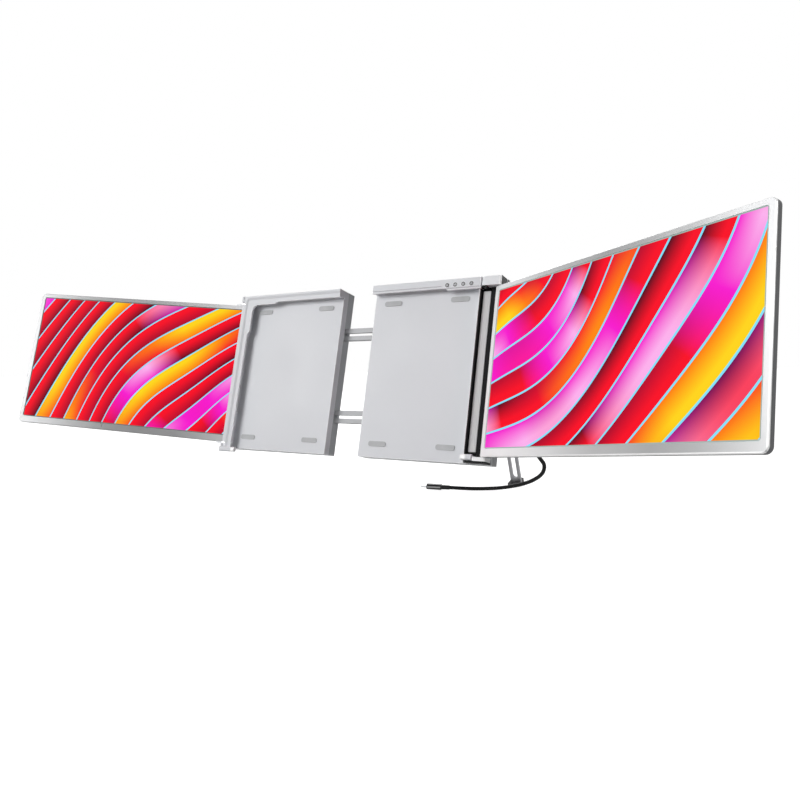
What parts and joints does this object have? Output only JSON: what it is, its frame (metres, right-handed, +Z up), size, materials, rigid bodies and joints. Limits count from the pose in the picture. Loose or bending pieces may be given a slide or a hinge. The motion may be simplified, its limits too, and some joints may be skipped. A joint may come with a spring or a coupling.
{
  "type": "laptop screen extender",
  "caption": "Clip-on frame for a laptop's lid that slides to width and carries a hinged monitor on each side, with a kickstand, buttons and a cord.",
  "frame": {"origin": "middle of the lid slot at the lid's top edge, at the rest width", "axes": "+Z up, +X to the right along the lid's top edge, +Y to the back; the lid leans back by 13.4 degrees"},
  "size_m": [0.9673, 0.2469, 0.2606],
  "materials": {
    "bezel": "silver satin",
    "black_plastic": "matt",
    "block": "satin silver",
    "board": "solder-masked",
    "button_grey": "semi-gloss",
    "cord": "smooth matt",
    "cover": "fine matt texture",
    "dark_steel": "blackened",
    "display": "matt display surface",
    "grey_panel": "satin",
    "inner_plastic": "semi-matt",
    "leg_metal": "satin",
    "monitor_back": "dark grey, fine matt texture",
    "nylon": "self-lubricating",
    "shoe_rubber": "matt",
    "silicone": "matt",
    "silver": "satin, fine bead-blasted",
    "steel": "brushed",
    "web_metal": "satin black",
    "white_plastic": "semi-gloss"
  },
  "bodies": {
    "right_bracket": {"right_frame": "silver", "right_back_cover": "cover", "right_lid_pads": "silicone", "rail_guides": "nylon", "right_cover_screws": "dark_steel", "hinge_bay_liner": "black_plastic", "arm_hinge_leaf": "steel", "arm_upper_pin": "steel", "button_rings": "white_plastic", "button_board": "board", "main_board": "board", "usb_sockets": "steel", "kickstand_pin": "steel", "cable": "cord", "extender_plug": "black_plastic", "extender_plug_contact": "steel", "laptop_plug": "black_plastic", "laptop_plug_contact": "steel"},
    "left_bracket": {"left_frame": "silver", "left_back_cover": "cover", "left_lid_pads": "silicone", "slide_rails": "steel", "rail_seats": "nylon", "rail_stops": "steel", "left_cover_screws": "dark_steel"},
    "left_screen": {"left_screen_backlight": "inner_plastic", "left_screen_bezel": "bezel", "left_screen_board": "board", "left_screen_cover": "monitor_back", "left_screen_hinge_leaves": "steel", "left_screen_hinge_pins": "steel", "left_screen_panel": "display", "left_screen_screws": "dark_steel"},
    "hinge_arm": {"arm_top_block": "block", "arm_bottom_block": "block", "arm_foot_plate": "web_metal", "arm_web": "web_metal", "arm_panel": "grey_panel", "arm_lower_pin": "steel", "right_screen_pins": "steel"},
    "right_screen": {"right_screen_backlight": "inner_plastic", "right_screen_bezel": "bezel", "right_screen_board": "board", "right_screen_bushes": "nylon", "right_screen_cover": "monitor_back", "right_screen_panel": "display", "right_screen_screws": "dark_steel"},
    "kick_sleeve": {"kickstand_sleeve": "black_plastic", "kickstand_rivet": "steel"},
    "kick_leg": {"kickstand_leg": "leg_metal", "kickstand_foot": "shoe_rubber"},
    "button_1": {"button_1": "button_grey"},
    "button_2": {"button_2": "button_grey"},
    "button_3": {"button_3": "button_grey"},
    "button_4": {"button_4": "button_grey"},
    "left_clip": {"left_clip_pin": "steel", "left_clip_tip": "white_plastic"},
    "right_clip": {"right_clip_pin": "steel", "right_clip_tip": "white_plastic"}
  },
  "joints": [
    {"name": "frame_slide", "type": "slide", "parent": "right_bracket", "child": "left_bracket", "axis": [-1, 0, 0], "range_m": [-0.045, 0.05]},
    {"name": "left_screen_hinge", "type": "hinge", "parent": "left_bracket", "child": "left_screen", "pos_m": [-0.184, -0.02346, -0.0931], "axis": [0, 0.2317, 0.9728], "range_deg": [-21.6, 158.4]},
    {"name": "arm_hinge", "type": "hinge", "parent": "right_bracket", "child": "hinge_arm", "pos_m": [0.18135, -0.02201, -0.09344], "axis": [0, -0.2317, -0.9728], "range_deg": [0, 90]},
    {"name": "right_screen_hinge", "type": "hinge", "parent": "hinge_arm", "child": "right_screen", "pos_m": [0.1996, -0.01952, -0.09403], "axis": [0, -0.2317, -0.9728], "range_deg": [-26.4, 63.6]},
    {"name": "kickstand_hinge", "type": "hinge", "parent": "right_bracket", "child": "kick_sleeve", "pos_m": [0.1933, 0.00588, -0.08878], "axis": [1, 0, 0], "range_deg": [0, 146.6]},
    {"name": "kickstand_extension", "type": "slide", "parent": "kick_sleeve", "child": "kick_leg", "axis": [0, 0.342, -0.9397], "range_m": [-0.06, 0.003]},
    {"name": "left_clip_slide", "type": "slide", "parent": "left_bracket", "child": "left_clip", "axis": [1, 0, 0], "range_m": [0, 0.004]},
    {"name": "right_clip_slide", "type": "slide", "parent": "right_bracket", "child": "right_clip", "axis": [-1, 0, 0], "range_m": [0, 0.004]},
    {"name": "button_1_press", "type": "slide", "parent": "right_bracket", "child": "button_1", "axis": [0, 0.9728, -0.2317], "range_m": [0, 0.0005], "stiffness_N_per_m": 2000, "springref_m": -0.0003},
    {"name": "button_2_press", "type": "slide", "parent": "right_bracket", "child": "button_2", "axis": [0, 0.9728, -0.2317], "range_m": [0, 0.0005], "stiffness_N_per_m": 2000, "springref_m": -0.0003},
    {"name": "button_3_press", "type": "slide", "parent": "right_bracket", "child": "button_3", "axis": [0, 0.9728, -0.2317], "range_m": [0, 0.0005], "stiffness_N_per_m": 2000, "springref_m": -0.0003},
    {"name": "button_4_press", "type": "slide", "parent": "right_bracket", "child": "button_4", "axis": [0, 0.9728, -0.2317], "range_m": [0, 0.0005], "stiffness_N_per_m": 2000, "springref_m": -0.0003}
  ]
}
